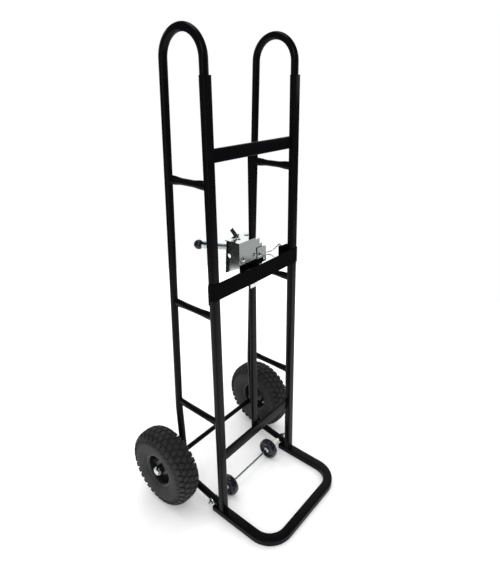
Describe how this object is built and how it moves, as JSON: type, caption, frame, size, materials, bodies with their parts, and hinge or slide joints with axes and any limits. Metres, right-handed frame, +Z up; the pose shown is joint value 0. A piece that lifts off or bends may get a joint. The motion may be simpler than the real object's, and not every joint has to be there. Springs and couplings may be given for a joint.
{
  "type": "hand truck",
  "caption": "Tall two-wheeled hand truck with handle loops, a bent toe loop, a ratchet with a webbing strap and two small wheels behind the toe.",
  "frame": {"origin": "on the floor, below the middle of the truck's bounding box", "axes": "+X to the truck's right seen from behind the load, -Y towards the toe loop and the load, +Z up"},
  "size_m": [0.568, 0.544, 1.4511],
  "materials": {
    "black_enamel": "gloss black enamel, charcoal where it faces the light",
    "bright_zinc": "bright bluish zinc plate",
    "plain_steel": "machined steel",
    "tyre_rubber": "matte black rubber",
    "black_rim": "satin black paint",
    "gloss_plastic": "polished black plastic",
    "white_plastic": "natural nylon",
    "webbing": "black woven polyester webbing"
  },
  "bodies": {
    "frame": {"side_loop_left": "black_enamel", "front_rail_left": "black_enamel", "rung_left_upper": "black_enamel", "rung_left_middle": "black_enamel", "rung_left_lower": "black_enamel", "side_loop_right": "black_enamel", "front_rail_right": "black_enamel", "rung_right_upper": "black_enamel", "rung_right_middle": "black_enamel", "rung_right_lower": "black_enamel", "cross_bar_upper": "black_enamel", "cross_bar_lower": "black_enamel", "centre_upright": "black_enamel", "toe_loop": "black_enamel", "main_axle": "black_enamel", "axle_collar_left": "black_enamel", "axle_collar_right": "black_enamel", "axle_washer_left": "bright_zinc", "axle_washer_right": "bright_zinc", "axle_nut_left": "bright_zinc", "axle_nut_right": "bright_zinc", "small_wheel_rod": "bright_zinc", "rod_washer_left": "bright_zinc", "rod_washer_right": "bright_zinc", "rod_nut_left": "bright_zinc", "rod_nut_right": "bright_zinc", "ratchet_housing": "bright_zinc", "hook_plate": "bright_zinc", "strap_bail": "bright_zinc", "housing_bolt_1": "bright_zinc", "housing_bolt_2": "bright_zinc", "housing_bolt_3": "bright_zinc", "housing_bolt_4": "bright_zinc", "lever_post": "plain_steel", "rod_spacer_left": "white_plastic", "rod_spacer_right": "white_plastic", "strap": "webbing"},
    "wheel_left": {"tyre_left": "tyre_rubber", "rim_outer_left": "black_rim", "rim_inner_left": "black_rim", "valve_stem_left": "tyre_rubber", "wheel_hub_left": "plain_steel"},
    "wheel_right": {"tyre_right": "tyre_rubber", "rim_outer_right": "black_rim", "rim_inner_right": "black_rim", "valve_stem_right": "tyre_rubber", "wheel_hub_right": "plain_steel"},
    "small_wheel_left": {"small_wheel_left": "gloss_plastic"},
    "small_wheel_right": {"small_wheel_right": "gloss_plastic"},
    "spool": {"spool_shaft": "plain_steel", "ratchet_wheel": "bright_zinc"},
    "lever": {"lever": "plain_steel", "lever_collar": "bright_zinc", "lever_ball": "gloss_plastic"},
    "pawl": {"pawl": "plain_steel", "release_tab": "bright_zinc"}
  },
  "joints": [
    {"name": "wheel_left_spin", "type": "hinge", "parent": "frame", "child": "wheel_left", "pos_m": [-0.242, 0.14195, 0.13], "axis": [1, 0, 0], "continuous": true},
    {"name": "wheel_right_spin", "type": "hinge", "parent": "frame", "child": "wheel_right", "pos_m": [0.242, 0.14195, 0.13], "axis": [1, 0, 0], "continuous": true},
    {"name": "small_wheel_left_spin", "type": "hinge", "parent": "frame", "child": "small_wheel_left", "pos_m": [-0.106, -0.01345, 0.036], "axis": [1, 0, 0], "continuous": true},
    {"name": "small_wheel_right_spin", "type": "hinge", "parent": "frame", "child": "small_wheel_right", "pos_m": [0.106, -0.01345, 0.036], "axis": [1, 0, 0], "continuous": true},
    {"name": "spool_spin", "type": "hinge", "parent": "frame", "child": "spool", "pos_m": [0.008, -0.00945, 0.83], "axis": [0, 0, 1], "continuous": true},
    {"name": "lever_swing", "type": "hinge", "parent": "frame", "child": "lever", "pos_m": [-0.036, -0.01545, 0.868], "axis": [0, 0, 1], "range_deg": [-34, 6]},
    {"name": "pawl_swing", "type": "hinge", "parent": "frame", "child": "pawl", "pos_m": [-0.019, 0.00055, 0.86], "axis": [0, 0, 1], "range_deg": [-18, 0], "stiffness_Nm_per_rad": 0.05, "springref_deg": 5.73}
  ]
}
